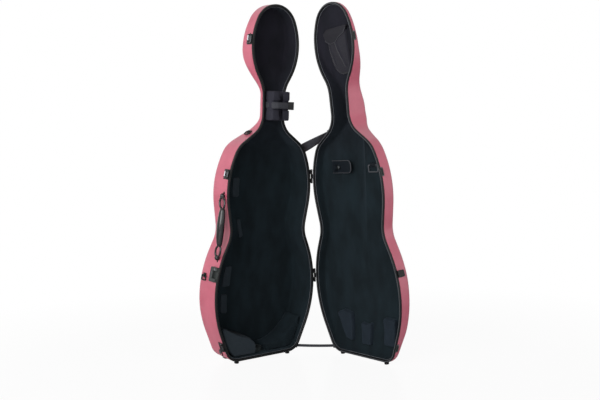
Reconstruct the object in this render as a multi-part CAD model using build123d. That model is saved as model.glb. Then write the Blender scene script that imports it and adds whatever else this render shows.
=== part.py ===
"""Cello case standing open: a base shell and a lid shell on two hinges, with their fittings."""

from build123d import *
from math import acos, atan, atan2, cos, degrees, radians, sin, tan
import os

os.makedirs("parts", exist_ok=True)

# Overall form, in millimetres. Both halves share one outline, seen from the front.
case_length = 1370
lower_bout_width = 479
waist_width = 361
upper_bout_width = 400
neck_width = 100
head_width = 222
bottom_flat = 328
top_flat = 132
opening_angle = 90

# Heights of the outline's corners above the bottom edge
lower_bout_height = 271
waist_height = 497
upper_bout_height = 702
shoulder_height = 833
shoulder_width = 316
neck_foot_height = 910
neck_head_height = 1055
head_height = 1196

# How far each corner of the tangent lines stands outside the curve that rounds it
lower_bout_reach = 36
waist_reach = 4
upper_bout_reach = 12.6
head_reach = 26
bottom_corner_radius = 60
shoulder_radius = 110
neck_foot_radius = 85
neck_head_radius = 110
top_corner_radius = 97

# Walls
shell_wall = 3
lining_gap = 0.3
lining_wall = 8
base_edge_radius = 25
lid_edge_radius = 12
base_inner_bevel = 13
lid_inner_bevel = 6.4
lining_bevel = 6
overrun = 60

# Side view of the base's back, as (depth, height) corners and the radii between
base_back = [
    (122, -overrun),
    (134, 215),
    (116, 700),
    (106, 838),
    (40, 932),
    (38, 1045),
    (88, 1170),
    (60, case_length + overrun),
]
base_back_radii = [700, 500, 120, 70, 80, 120]

# Side view of the lid's back, and the ridge that runs down from its neck
lid_back = [
    (18, -overrun),
    (51, 125),
    (60, 330),
    (60, 840),
    (99, 925),
    (95, 985),
    (36, 1190),
    (29, 1250),
    (24, case_length + overrun),
]
lid_back_radii = [300, 500, 120, 70, 150, 150, 300]
ridge_radius = 115
ridge_top = (94, 935)
ridge_foot = (60, 330)

# Rims: a moulded edge band on each half, a piping inside it and a seal bead on the lid's
rim_gap = 1.5
rim_height = 8
rim_width = 9
piping_width = 2.2
piping_height = 2
piping_gap = 0.2
seal_edge = 3
seal_width = 3
seal_height = 1

# Clearances
seat_gap = 0.15
running_gap = 0.05
side_gap = 0.3

wall_start = rim_gap / 2 + rim_height
lining_inset = shell_wall + lining_gap
cavity_inset = lining_inset + lining_wall
soft_inset = cavity_inset + side_gap

# Hinges, measured along the hinge line
hinge_heights = {"lower": 280, "upper": 690}
hinge_pin_offset = 5
hinge_length = 54
hinge_middle = 18
knuckle_radius = 3.8
hinge_pin_radius = 1.8
hinge_leaf = 2
hinge_leaf_depth = 34
hinge_head_radius = 3
rivet_radius = 3
rivet_height = 1.2

# Draw latches: heights up the outer wall and the sizes of their parts
latch_heights = {"bottom": 64, "upper": 728, "head": 1232}
latch_plate_width = 38
latch_plate_start = 3
latch_plate_end = 37
plate_thickness = 2
lever_pivot_depth = 10
lever_pivot_height = 6
lever_pivot_radius = 1.5
lever_barrel_radius = 3
lever_width = 18
lever_length = 26
lever_thickness = 2
lever_open_angle = 120
ear_gap = 11.5
ear_thickness = 2.5
bail_pivot_reach = 10
bail_pivot_radius = 1.2
bail_inner_half = 14.5
bail_arm = 2
bail_height = 2.4
bail_reach = 34.9
bail_bar = 2.8
bail_open_angle = 150
catch_plate_end = 15
catch_lip_depth = 9.6
catch_lip_thickness = 2
catch_lip_width = 25
catch_lip_height = 7

# Lock on the base, with its hasp on the lid
lock_height = 350
lock_length = 56
lock_start = 2
lock_end = 40
lock_thickness = 14
hasp_recess_length = 30
hasp_recess_end = 22
hasp_recess_floor = 4
dial_count = 3
dial_radius = 6
dial_width = 5
dial_pitch = 7.5
dial_depth = 31
dial_axis_height = 9
dial_shaft_radius = 1.5
button_travel = 2
button_length = 7.2
hasp_pivot_depth = 8
hasp_pivot_height = 6
hasp_pivot_radius = 1.2
hasp_arm_length = 28
hasp_arm_width = 26
hasp_arm_thickness = 2.5
hasp_plate_end = 24

# Side handle across the waist
handle_top_height = 655
handle_foot_height = 401
handle_depth = 28
handle_standoff = 9
handle_mount_length = 26
handle_mount_width = 22
handle_pin_radius = 3
handle_pin_length = 12
grip_length = 150
grip_width = 22
grip_thickness = 16
grip_drop = 14
handle_arm_radius = 6

# Strap lugs with rings, on both sides of the base
lug_places = {"shoulder": (885, 38), "hip": (336, 88)}
lug_width = 12
lug_length = 9
lug_height = 8
ring_axis_height = 4.6
ring_width = 30
ring_length = 22
ring_bar = 4
ring_thickness = 3.2
lug_bore_radius = 2.8

# Stays that hold the lid at its open angle
upper_stay_base = (806, 66)
upper_stay_lid = (890, 30)
upper_stay_width = 36
lower_stay_base = (16, 20)
lower_stay_lid = (16, 17)
lower_stay_width = 14
stay_thickness = 2
stay_clamp_length = 14
stay_clamp_thickness = 6
stay_steps = 6

# Padding in the base
neck_pad_spans = {"lower": (929, 976), "upper": (1007, 1045)}
neck_pad_half = 34
neck_pad_proud = 27
neck_rest_radius = 21
neck_rest_depth = 22
neck_strap_width = 25
neck_strap_thickness = 2
neck_strap_top = 45
neck_strap_half = 30
neck_strap_height = 991
buckle_length = 20
buckle_width = 30
buckle_thickness = 6
side_pad_heights = [220, 325, 485, 680]
side_pad_length = 48
side_pad_start = 24
side_pad_end = 58
side_pad_thickness = 8
wedge_start = 30
wedge_end = 190
wedge_height = 140
wedge_front = 26
body_radius = 222
body_centre_height = 252
pin_block_radius = 24
pin_block_height = 17
pin_block_depth = 62
pin_hole_radius = 6
pin_hole_depth = 10

# Fittings in the lid
pouch_left = -67
pouch_right = 86
pouch_bottom = 1086
pouch_top = 1292
pouch_thickness = 11
flap_bottom = 1205
flap_thickness = 3
bow_plate_centre = (-95, 743)
bow_plate_width = 98
bow_plate_length = 60
bow_plate_thickness = 4
knob_radius = 11
knob_height = 9
knob_pin_radius = 3
toggle_length = 46
toggle_width = 12
toggle_thickness = 3
loop_centre = (113, 750)
loop_width = 52
loop_length = 30
loop_lug_width = 34
lid_pads = [(-197, -116, 36, 154), (-60, -5, 41, 114), (80, 128, 50, 149)]
lid_pad_thickness = 12

# Feet
foot_spacing = 125
foot_radius = 9
foot_height = 9
foot_front = 13
foot_back = 86


def side_corners():
    """Tangent-line corners of the right-hand half of the outline, from bottom to top."""
    return [
        (0, 0),
        (bottom_flat / 2, 0),
        (lower_bout_width / 2 + lower_bout_reach, lower_bout_height),
        (waist_width / 2 - waist_reach, waist_height),
        (upper_bout_width / 2 + upper_bout_reach, upper_bout_height),
        (shoulder_width / 2, shoulder_height),
        (neck_width / 2 - 1, neck_foot_height),
        (neck_width / 2 + 3, neck_head_height),
        (head_width / 2 + head_reach, head_height),
        (top_flat / 2, case_length),
        (0, case_length),
    ]


def corner_frame(corners, index):
    """A corner's place, the direction into the curve that rounds it, and half the turn there."""
    (ax, az), (bx, bz), (cx, cz) = corners[index - 1 : index + 2]
    to_before = Vector(ax - bx, az - bz).normalized()
    to_after = Vector(cx - bx, cz - bz).normalized()
    half_turn = radians(180 - to_before.get_angle(to_after)) / 2
    return Vector(bx, bz), (to_before + to_after).normalized(), half_turn


def arc_radius(corners, index, reach):
    """Radius that rounds a corner so that the curve stops short of it by the reach."""
    place, inward, half_turn = corner_frame(corners, index)
    return reach / (abs(inward.X) / cos(half_turn) - 1)


corners = side_corners()
lower_bout_radius = arc_radius(corners, 2, lower_bout_reach)
upper_bout_radius = arc_radius(corners, 4, upper_bout_reach)
corner_radii = [
    bottom_corner_radius,
    lower_bout_radius,
    arc_radius(corners, 3, waist_reach),
    upper_bout_radius,
    shoulder_radius,
    neck_foot_radius,
    neck_head_radius,
    arc_radius(corners, 8, head_reach),
    top_corner_radius,
]
print("corner radii", [round(r) for r in corner_radii])

with BuildSketch(Plane.XZ) as outline_sketch:
    with BuildLine() as side_line:
        FilletPolyline(*corners, radius=corner_radii)
        mirror(about=Plane.YZ)
    make_face()
outline = outline_sketch.sketch


def outline_inset(inset):
    return offset(outline, amount=-inset) if inset else outline


def slab(inset, start, depth):
    """The outline, moved in by the inset, as a plate between two depths behind the rim."""
    plate = extrude(outline_inset(inset), amount=-depth)
    return Pos(0, start, 0) * plate


def behind(profile, profile_radii, inset):
    """Everything in front of the back surface that a side profile draws."""
    with BuildSketch(Plane.YZ) as side:
        with BuildLine():
            FilletPolyline(*profile, radius=profile_radii)
            Polyline(profile[-1], (-400, profile[-1][1]), (-400, profile[0][1]), profile[0])
        make_face()
    face = side.sketch
    if inset:
        face = offset(face, amount=-inset)
    return extrude(face, amount=lower_bout_width, both=True)


def back_edges(solid, start):
    """Edges where an upright wall meets the back surface."""
    found = []
    for edge in solid.edges():
        faces = [f for f in solid.faces() if any(edge.is_same(e) for e in f.edges())]
        tilts = [abs(f.normal_at(f.position_at(0.5, 0.5)).Y) for f in faces]
        if len(tilts) == 2 and min(tilts) < 0.02 and max(tilts) > 0.3:
            if edge.bounding_box().min.Y > start + 1:
                found.append(edge)
    return found


def half_solid(profile, profile_radii, inset, start, radius, bevel):
    """One half as a full solid, with its back edges rounded or bevelled."""
    solid = slab(inset, start, 300) & behind(profile, profile_radii, inset)
    if radius:
        solid = fillet(back_edges(solid, start), radius)
    if bevel:
        solid = chamfer(back_edges(solid, start), bevel)
    return solid


def ridge(inset, start):
    """The half-round ridge on the lid's back, buried at both ends."""
    rise = atan2(ridge_top[0] - ridge_foot[0], ridge_top[1] - ridge_foot[1])
    length = (ridge_top[1] - ridge_foot[1] + 100) / cos(rise)
    bar = Cylinder(ridge_radius - inset, length)
    bar = Pos(0, 0, -length / 2) * bar
    bar = Rot(-degrees(rise), 0, 0) * bar
    bar = Pos(0, ridge_top[0] - ridge_radius, ridge_top[1]) * bar
    return bar & slab(inset, start, 300)


def base_solid(inset, start, radius=0, bevel=0):
    return half_solid(base_back, base_back_radii, inset, start, radius, bevel)


def lid_solid(inset, start, radius=0, bevel=0):
    body = half_solid(lid_back, lid_back_radii, inset, start, radius, bevel)
    return body + ridge(inset, start)


def ring_band(outer, inner, start, depth):
    """A band that follows the outline between two insets."""
    return slab(outer, start, depth) - slab(inner, start - 1, depth + 2)


# Points up the right-hand side of the outline, and where a fitting seats on it
side_points = []
for edge in outline.edges():
    if edge.center().X > 1:
        side_points += [edge.position_at(i / 40) for i in range(41)]
side_points.sort(key=lambda p: p.Z)


def side_at(height):
    """Half the outline's width at a height."""
    for low, high in zip(side_points, side_points[1:]):
        if low.Z <= height <= high.Z and high.Z > low.Z:
            share = (height - low.Z) / (high.Z - low.Z)
            return low.X + share * (high.X - low.X)
    return side_points[-1].X


def wall(height, side):
    """Plane on the wall: x runs along it, y goes back from the rim, z points outward."""
    rise = Vector(side_at(height + 1) - side_at(height - 1), 0, 2).normalized()
    out = Vector(side * rise.Z, 0, -rise.X)
    along = Vector(out.Z, 0, -out.X)
    return Plane(origin=(side * side_at(height), 0, height), x_dir=along, z_dir=out)


outer_prism = slab(-seat_gap, -100, 400)


def seated(shape, height, side):
    """A fitting drawn on the wall's plane, cut to sit on the curved wall."""
    return wall(height, side).location * shape - outer_prism


def box_between(x, y, z):
    """A box from its lower and upper limit on each axis."""
    size = (x[1] - x[0], y[1] - y[0], z[1] - z[0])
    centre = ((x[0] + x[1]) / 2, (y[0] + y[1]) / 2, (z[0] + z[1]) / 2)
    return Pos(*centre) * Box(*size)


def rounded_plate(width, start, end, top, radius):
    """A plate on the wall with rounded corners, deep enough below to be cut to its seat."""
    plate = box_between((-width / 2, width / 2), (start, end), (-8, top))
    return fillet(plate.edges().filter_by(Axis.Z), radius)


def rod_x(radius, low, high, y, z):
    """A rod along x."""
    rod = Rot(0, 90, 0) * Cylinder(radius, high - low)
    return Pos((low + high) / 2, y, z) * rod


def rod_z(radius, low, high, x, y):
    return Pos(x, y, (low + high) / 2) * Cylinder(radius, high - low)


def together(*shapes):
    return Compound(children=[s for shape in shapes for s in shape.solids()])


# Where the two halves stand: the hinge line is the common tangent of the two bouts
def bout_centre(index, radius):
    """Centre of the arc that rounds a bout's corner."""
    place, inward, half_turn = corner_frame(corners, index)
    return place + inward * (radius / cos(half_turn))


lower_centre = bout_centre(2, lower_bout_radius)
upper_centre = bout_centre(4, upper_bout_radius)
between = upper_centre - lower_centre
radius_step = lower_bout_radius - upper_bout_radius
hinge_tilt = atan2(between.Y, between.X) - acos(radius_step / between.length)
hinge_offset = lower_centre.X * cos(hinge_tilt) + lower_centre.Y * sin(hinge_tilt)
hinge_offset += lower_bout_radius + hinge_pin_offset
tilt = degrees(hinge_tilt)
lean_angle = degrees(atan(tan(hinge_tilt) / cos(radians(opening_angle / 2))))
lean = Rot(0, 0, -45) * Rot(lean_angle, 0, 0) * Rot(0, 0, 45)
base_on_hinge = Pos(-hinge_offset, 0, 0) * Rot(0, tilt, 0)
lid_on_hinge = Pos(hinge_offset, 0, 0) * Rot(0, -tilt, 0)
lid_turn = Rot(0, 0, -opening_angle)
print("hinge tilt", round(tilt, 3), "offset", round(hinge_offset, 2), "lean", round(lean_angle, 3))

base_parts = {}
lid_parts = {}
hinge_parts = {}

# Shells and linings
base_outer = base_solid(0, wall_start, radius=base_edge_radius)
base_hollow = base_solid(shell_wall, wall_start, bevel=base_inner_bevel)
base_bed = base_solid(lining_inset, wall_start, bevel=base_inner_bevel)
base_room = base_solid(cavity_inset, wall_start, bevel=lining_bevel)
base_parts["base_shell"] = base_outer - base_hollow
base_parts["base_lining"] = base_bed - base_room
lid_outer = lid_solid(0, wall_start, radius=lid_edge_radius)
lid_hollow = lid_solid(shell_wall, wall_start, bevel=lid_inner_bevel)
lid_bed = lid_solid(lining_inset, wall_start, bevel=lid_inner_bevel)
lid_parts["lid_shell"] = lid_outer - lid_hollow
lid_parts["lid_lining"] = lid_bed - lid_solid(cavity_inset, wall_start)
base_cavity = base_solid(soft_inset, -100, bevel=lining_bevel)

# Rims and pipings
rim = ring_band(0, rim_width, rim_gap / 2, rim_height)
piping_start = wall_start - piping_height
piping_outer = rim_width + piping_gap
piping = ring_band(piping_outer, piping_outer + piping_width, piping_start, piping_height)
base_parts["base_rim"] = rim
lid_parts["lid_rim"] = rim
base_parts["base_piping"] = piping
lid_parts["lid_piping"] = piping
seal_start = rim_gap / 2 - seal_height
lid_parts["lid_seal"] = ring_band(seal_edge, seal_edge + seal_width, seal_start, seal_height)


# Hinges, drawn on the hinge line: z along it, y back from the base's rim
def hinge_leaf_solid(height, owner):
    """A leaf with its knuckles; the base has the outer two and the lid the middle one."""
    half = hinge_length / 2
    middle = hinge_middle / 2
    inner_gap = side_gap / 2
    if owner == "base":
        spans = [(-half, -middle - inner_gap), (middle + inner_gap, half)]
        notch = (-middle - side_gap, middle + side_gap)
        on_hinge = base_on_hinge
    else:
        spans = [(-middle + inner_gap, middle - inner_gap)]
        notch = None
        on_hinge = lid_on_hinge
    leaf_top = seat_gap - hinge_pin_offset + hinge_leaf
    plate = box_between((-hinge_pin_offset - 8, leaf_top), (0, hinge_leaf_depth), (-half, half))
    clear = knuckle_radius + 2 * side_gap
    if notch:
        plate -= box_between((-20, 0), (-1, clear), notch)
    else:
        plate -= box_between((-20, 0), (-1, clear), (-half - 1, -middle + inner_gap))
        plate -= box_between((-20, 0), (-1, clear), (middle - inner_gap, half + 1))
    for low, high in spans:
        plate += Pos(0, 0, (low + high) / 2) * Cylinder(knuckle_radius, high - low)
        plate += box_between((-knuckle_radius, 0), (0, knuckle_radius), (low, high))
    plate -= Cylinder(hinge_pin_radius + running_gap, 2 * hinge_length)
    if owner == "lid":
        plate = plate.mirror(Plane.YZ)
    plate = Pos(0, 0, height) * plate
    return plate - on_hinge * outer_prism


def hinge_rivets(height, owner):
    """Three rivet heads on a leaf."""
    places = [(-18, 12), (18, 12), (0, 26)]
    out = seat_gap - hinge_pin_offset + hinge_leaf + rivet_height / 2
    side = 1 if owner == "base" else -1
    heads = []
    for along, depth in places:
        head = Rot(0, 90, 0) * Cylinder(rivet_radius, rivet_height)
        heads.append(Pos(side * out, depth, height + along) * head)
    return heads


for name, height in hinge_heights.items():
    base_leaf = hinge_leaf_solid(height, "base") + hinge_rivets(height, "base")
    lid_leaf = hinge_leaf_solid(height, "lid") + hinge_rivets(height, "lid")
    pin = Pos(0, 0, height) * Cylinder(hinge_pin_radius, hinge_length + 2 * side_gap)
    head_place = hinge_length / 2 + side_gap + rivet_height / 2
    pin += Pos(0, 0, height + head_place) * Cylinder(hinge_head_radius, rivet_height)
    pin += Pos(0, 0, height - head_place) * Cylinder(hinge_head_radius, rivet_height)
    hinge_parts[f"{name}_hinge_base_leaf"] = base_leaf
    hinge_parts[f"{name}_hinge_pin"] = pin
    hinge_parts[f"{name}_hinge_lid_leaf"] = lid_turn * lid_leaf

# Draw latches, each drawn closed about its pivot and then opened
ear_half = ear_gap + ear_thickness
plate_top = seat_gap + plate_thickness


def latch_plate():
    width = latch_plate_width
    plate = rounded_plate(width, latch_plate_start, latch_plate_end, plate_top, 3)
    low = lever_pivot_depth - 4
    high = lever_pivot_depth + 4
    for side in (-1, 1):
        span = sorted((side * ear_gap, side * ear_half))
        plate += box_between(span, (low, high), (plate_top - 0.5, lever_pivot_height))
        plate += rod_x(4, span[0], span[1], lever_pivot_depth, lever_pivot_height)
    pin = rod_x(lever_pivot_radius, -ear_half, ear_half, lever_pivot_depth, lever_pivot_height)
    return plate + pin


def latch_lever():
    """Lever about its pivot, lying shut along +y."""
    half = lever_width / 2
    thick = lever_thickness / 2
    barrel = ear_gap - side_gap
    lever = rod_x(lever_barrel_radius, -barrel, barrel, 0, 0)
    lever += box_between((-half, half), (1, lever_length), (-thick, thick))
    lever += rod_x(bail_pivot_radius + 1, -half, half, bail_pivot_reach, 0)
    lever += box_between((-half, half), (lever_length - 2, lever_length), (-thick, 3 * thick))
    lever -= rod_x(lever_pivot_radius + running_gap, -20, 20, 0, 0)
    return lever - rod_x(bail_pivot_radius + running_gap, -20, 20, bail_pivot_reach, 0)


def latch_bail():
    """Wire-frame bail about its pivot, pointing along -y when shut."""
    half = bail_height / 2
    outer = bail_inner_half + bail_arm
    bail = box_between((-outer, outer), (-bail_reach, half), (-half, half))
    inner = box_between((-bail_inner_half, bail_inner_half), (bail_bar - bail_reach, 9), (-9, 9))
    bail -= inner
    return bail + rod_x(bail_pivot_radius, -outer, outer, 0, 0)


def latch_catch():
    plate = rounded_plate(latch_plate_width - 4, 3, catch_plate_end, plate_top, 2)
    half = catch_lip_width / 2
    lip_end = catch_lip_depth + catch_lip_thickness
    lip = box_between((-half, half), (catch_lip_depth, lip_end), (plate_top - 0.5, catch_lip_height))
    return plate + lip


lever_pivot = Pos(0, lever_pivot_depth, lever_pivot_height)
open_lever = lever_pivot * Rot(lever_open_angle, 0, 0)
bail_turn = bail_open_angle - 180 - lever_open_angle
open_bail = open_lever * Pos(0, bail_pivot_reach, 0) * Rot(bail_turn, 0, 0)
for name, height in latch_heights.items():
    base_wall = wall(height, -1).location
    base_parts[f"{name}_latch_plate"] = seated(latch_plate(), height, -1)
    base_parts[f"{name}_latch_lever"] = base_wall * open_lever * latch_lever()
    base_parts[f"{name}_latch_bail"] = base_wall * open_bail * latch_bail()
    lid_parts[f"{name}_latch_catch"] = seated(latch_catch(), height, 1)

# Combination lock, with a recess that the hasp's arm drops into
lock_half = lock_length / 2
lock = box_between((-lock_half, lock_half), (lock_start, lock_end), (-12, lock_thickness))
lock = fillet(lock.edges().filter_by(Axis.Z), 4)
lock = chamfer(lock.faces().sort_by(Axis.Z)[-1].edges(), 1.2)
recess_half = hasp_recess_length / 2
recess_floor = hasp_recess_floor
lock -= box_between((-recess_half, recess_half), (-5, hasp_recess_end), (recess_floor, 30))
dial_places = [(i - (dial_count - 1) / 2) * dial_pitch for i in range(dial_count)]
slot_half = dial_width / 2 + side_gap
slot_reach = dial_radius + 2 * side_gap
slot_depth = (dial_depth - slot_reach, dial_depth + slot_reach)
for place in dial_places:
    span = (place - slot_half, place + slot_half)
    lock -= box_between(span, slot_depth, (dial_axis_height - slot_reach, 30))
shaft_half = dial_places[-1] + dial_width / 2 + 3
shaft_bore = dial_shaft_radius + running_gap
lock += rod_x(dial_shaft_radius, -shaft_half, shaft_half, dial_depth, dial_axis_height)
button_start = recess_half + 1.8
button_width = 9.4
button_y = (6, 6 + button_width)
pocket_x = (button_start - side_gap, button_start + button_length + button_travel + side_gap)
pocket_y = (button_y[0] - side_gap, button_y[1] + side_gap)
pocket_floor = lock_thickness - 5
lock -= box_between(pocket_x, pocket_y, (pocket_floor, 30))
base_parts["lock_body"] = seated(lock, lock_height, -1)
lock_wall = wall(lock_height, -1).location
for number, place in enumerate(dial_places, 1):
    dial = extrude(RegularPolygon(dial_radius, 10), amount=dial_width / 2, both=True)
    dial = Pos(place, dial_depth, dial_axis_height) * Rot(0, 90, 0) * dial
    dial -= rod_x(shaft_bore, -30, 30, dial_depth, dial_axis_height)
    base_parts[f"dial_{number}"] = lock_wall * dial
button_x = (button_start, button_start + button_length)
button_z = (pocket_floor + side_gap, lock_thickness + 1.2)
base_parts["lock_button"] = lock_wall * box_between(button_x, button_y, button_z)

# Hasp on the lid, swung back away from the lock
hasp_ear = hasp_arm_width / 2 - 4
hasp_plate = rounded_plate(hasp_arm_width, 5, hasp_plate_end, plate_top, 2)
for side in (-1, 1):
    span = sorted((side * hasp_ear, side * (hasp_ear + 3)))
    low = hasp_pivot_depth - 3
    hasp_plate += box_between(span, (low, low + 6), (plate_top - 0.5, hasp_pivot_height))
    hasp_plate += rod_x(3, span[0], span[1], hasp_pivot_depth, hasp_pivot_height)
pin_half = hasp_ear + 3
hasp_plate += rod_x(hasp_pivot_radius, -pin_half, pin_half, hasp_pivot_depth, hasp_pivot_height)
lid_parts["hasp_plate"] = seated(hasp_plate, lock_height, 1)
arm_half = hasp_arm_width / 2
thick = hasp_arm_thickness / 2
arm = rod_x(hasp_pivot_radius + 1.5, side_gap - hasp_ear, hasp_ear - side_gap, 0, 0)
arm += box_between((side_gap - hasp_ear, hasp_ear - side_gap), (0, 6), (-thick, thick))
paddle = box_between((-arm_half, arm_half), (4, hasp_arm_length), (-thick, thick))
paddle = fillet(paddle.edges().filter_by(Axis.Z).sort_by(Axis.Y)[-2:], 5)
arm += paddle
arm -= rod_x(hasp_pivot_radius + running_gap, -30, 30, 0, 0)
hasp_pivot = Pos(0, hasp_pivot_depth, hasp_pivot_height)
lid_parts["hasp_arm"] = wall(lock_height, 1).location * hasp_pivot * arm

# Side handle: x runs along its pivot line, y back from the rim, z outward
pivot_place = Pos(0, handle_depth, handle_standoff)
top_point = (wall(handle_top_height, -1).location * pivot_place).position
foot_point = (wall(handle_foot_height, -1).location * pivot_place).position
chord = top_point - foot_point
chord_dir = chord.normalized()
handle_out = Vector(-chord_dir.Z, 0, chord_dir.X)
handle_plane = Plane(
    origin=(top_point + foot_point) / 2,
    x_dir=chord_dir,
    z_dir=handle_out,
)
handle_place = handle_plane.location
handle_half = chord.length / 2
mount_half = handle_mount_length / 2
mount_face = handle_half - mount_half
mounts = []
for side in (1, -1):
    span = sorted((side * mount_face, side * (handle_half + mount_half)))
    width = handle_mount_width / 2
    mount = box_between(span, (-width, width), (-45, handle_standoff - 1))
    mount = fillet(mount.edges().filter_by(Axis.Z), 6)
    mount = fillet(mount.faces().sort_by(Axis.Z)[-1].edges(), 3)
    bore = sorted((side * (mount_face - 1), side * (mount_face + handle_pin_length + 1)))
    mount -= rod_x(handle_pin_radius + running_gap, bore[0], bore[1], 0, 0)
    mounts.append(handle_place * mount - outer_prism)
base_parts["handle_mounts"] = together(*mounts)
arm_end = mount_face - side_gap
grip_half = grip_length / 2
points = [(arm_end, 0), (arm_end - 9, 0), (grip_half + 4, -grip_drop), (grip_half - 8, -grip_drop)]
grip = box_between(
    (-grip_half, grip_half),
    (-grip_drop - grip_width / 2, grip_width / 2 - grip_drop),
    (-grip_thickness / 2, grip_thickness / 2),
)
grip = fillet(grip.edges().filter_by(Axis.X), grip_thickness / 2 - 1)
grip = fillet(grip.faces().filter_by(Axis.X).edges(), 3)
for side in (1, -1):
    route = FilletPolyline(*[(side * x, y) for x, y in points], radius=[14, 14])
    start = Plane(origin=(side * arm_end, 0, 0), x_dir=(0, 1, 0), z_dir=(-side, 0, 0))
    grip += sweep(start * Circle(handle_arm_radius), path=route)
    pin = sorted((side * (arm_end - 1), side * (mount_face + handle_pin_length)))
    grip += rod_x(handle_pin_radius, pin[0], pin[1], 0, 0)
base_parts["handle_grip"] = handle_place * grip


# Strap lugs and their rings, the bar along y so that each ring hangs down the wall
def lug(loop_width, loop_length):
    base = box_between((-loop_length, loop_length), (-loop_width, loop_width), (-9, plate_top))
    base = fillet(base.edges().filter_by(Axis.Z), 2)
    saddle_width = loop_width - 3
    saddle = box_between(
        (-loop_length / 2, loop_length / 2),
        (-saddle_width, saddle_width),
        (plate_top - 0.5, lug_height),
    )
    saddle = fillet(saddle.faces().sort_by(Axis.Z)[-1].edges().filter_by(Axis.Y), 3)
    bore = Rot(90, 0, 0) * Cylinder(lug_bore_radius, 60)
    return base + saddle - Pos(0, 0, ring_axis_height) * bore


def ring(width, length, bar, thickness):
    """A flat loop about its bar's axis, hanging toward -x."""
    outer = Pos(bar / 2 - length / 2, 0) * RectangleRounded(length, width, 6)
    inner_length = length - 2 * bar
    inner = Pos(bar / 2 - length / 2, 0) * RectangleRounded(inner_length, width - 2 * bar, 3)
    return extrude(outer - inner, amount=thickness / 2, both=True)


lugs = []
for name, (height, depth) in lug_places.items():
    for side_name, side in (("outer", -1), ("hinge", 1)):
        place = Pos(0, depth, 0)
        lugs.append(seated(place * lug(lug_width / 2 + 3, lug_length), height, side))
        hang = ring(ring_width, ring_length, ring_bar, ring_thickness)
        if side == 1:
            hang = Rot(0, 0, 180) * hang
        at = wall(height, side).location * place * Pos(0, 0, ring_axis_height)
        base_parts[f"{name}_{side_name}_ring"] = at * hang
base_parts["strap_lugs"] = together(*lugs)


# Stays: two webbings that stop the lid at its open angle, clamped to the walls beside the hinges
def hinge_wall(owner, height, depth):
    """A half's hinge-side wall plane at a point, in the hinge line's frame."""
    side = 1 if owner == "base" else -1
    place = base_on_hinge if owner == "base" else lid_turn * lid_on_hinge
    return Plane(place * wall(height, side).location * Pos(0, depth, 0))


def stay_section(start, run, across, along, width):
    """The webbing's cross section at a distance along its run."""
    plane = Plane(origin=start + run * along, x_dir=across, z_dir=run)
    return plane * Rectangle(width, stay_thickness)


stay_straps = []
base_clamps = []
lid_clamps = []
stay_routes = [
    (upper_stay_base, upper_stay_lid, upper_stay_width),
    (lower_stay_base, lower_stay_lid, lower_stay_width),
]
for base_end, lid_end, width in stay_routes:
    base_plane = hinge_wall("base", *base_end)
    lid_plane = hinge_wall("lid", *lid_end)
    start = base_plane.origin
    run = (lid_plane.origin - start).normalized()
    length = (lid_plane.origin - start).length
    base_across = run.cross(base_plane.z_dir).normalized()
    lid_across = run.cross(lid_plane.z_dir).normalized()
    if base_across.dot(lid_across) < 0:
        lid_across = lid_across * -1
    sections = []
    for step in range(stay_steps + 1):
        share = step / stay_steps
        along = stay_clamp_length + share * (length - 2 * stay_clamp_length)
        across = base_across * (1 - share) + lid_across * share
        sections.append(stay_section(start, run, across, along, width))
    stay_straps.append(loft(sections, ruled=True))
    thick = stay_clamp_thickness / 2
    wide = (-width / 2 - 3, width / 2 + 3)
    clamp = box_between(wide, (-thick, thick), (-16, stay_clamp_length))
    clamp = Plane(origin=start, x_dir=base_across, z_dir=run).location * clamp
    base_clamps.append(clamp - base_on_hinge * outer_prism)
    clamp = box_between(wide, (-thick, thick), (length - stay_clamp_length, length + 16))
    clamp = Plane(origin=start, x_dir=lid_across, z_dir=run).location * clamp
    lid_clamps.append(clamp - lid_turn * lid_on_hinge * outer_prism)
hinge_parts["stay_straps"] = together(*stay_straps)
hinge_parts["stay_clamps_base"] = together(*base_clamps)
hinge_parts["stay_clamps_lid"] = together(*lid_clamps)


# Padding in the base
def front_region(x, z, radius):
    """A rounded rectangle seen from the front, as a prism through the whole depth."""
    centre = Pos((x[0] + x[1]) / 2, (z[0] + z[1]) / 2)
    shape = Plane.XZ * centre * RectangleRounded(x[1] - x[0], z[1] - z[0], radius)
    return Pos(0, -100, 0) * extrude(shape, amount=-400)


neck_pads = []
for low, high in neck_pad_spans.values():
    pad = box_between((-neck_pad_half, neck_pad_half), (-neck_pad_proud, 200), (low, high))
    pad -= rod_z(neck_rest_radius, low - 1, high + 1, 0, -neck_rest_depth)
    neck_pads.append(pad & base_cavity)
base_parts["neck_pads"] = together(*neck_pads)
half = neck_strap_half
arch = [
    (half, 80),
    (half, 2 - neck_pad_proud),
    (half / 2, -neck_strap_top),
    (-half / 2, -neck_strap_top),
    (-half, 2 - neck_pad_proud),
    (-half, 80),
]
with BuildSketch() as arch_sketch:
    with BuildLine():
        FilletPolyline(*arch, radius=[12, 10, 10, 12])
        Line(arch[-1], arch[0])
    make_face()
strap_low = neck_strap_height - neck_strap_width / 2
outer_arch = extrude(arch_sketch.sketch, amount=neck_strap_width)
inner_face = offset(arch_sketch.sketch, amount=-neck_strap_thickness)
inner_arch = extrude(inner_face, amount=neck_strap_width)
strap = Pos(0, 0, strap_low) * (outer_arch - inner_arch)
base_parts["neck_strap"] = strap & base_cavity
slope = Vector(arch[1]) - Vector(arch[2])
slope_mid = (Vector(arch[1]) + Vector(arch[2])) / 2
slope_dir = slope.normalized()
slope_out = Vector(-slope_dir.Y, slope_dir.X) * -1
buckle_plane = Plane(
    origin=slope_mid + Vector(0, 0, neck_strap_height),
    x_dir=slope_dir,
    z_dir=slope_out,
)
buckle = box_between(
    (-buckle_length / 2, buckle_length / 2),
    (-buckle_width / 2, buckle_width / 2),
    (seat_gap, buckle_thickness),
)
base_parts["neck_buckle"] = buckle_plane.location * fillet(buckle.edges().filter_by(Axis.Z), 3)

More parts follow.
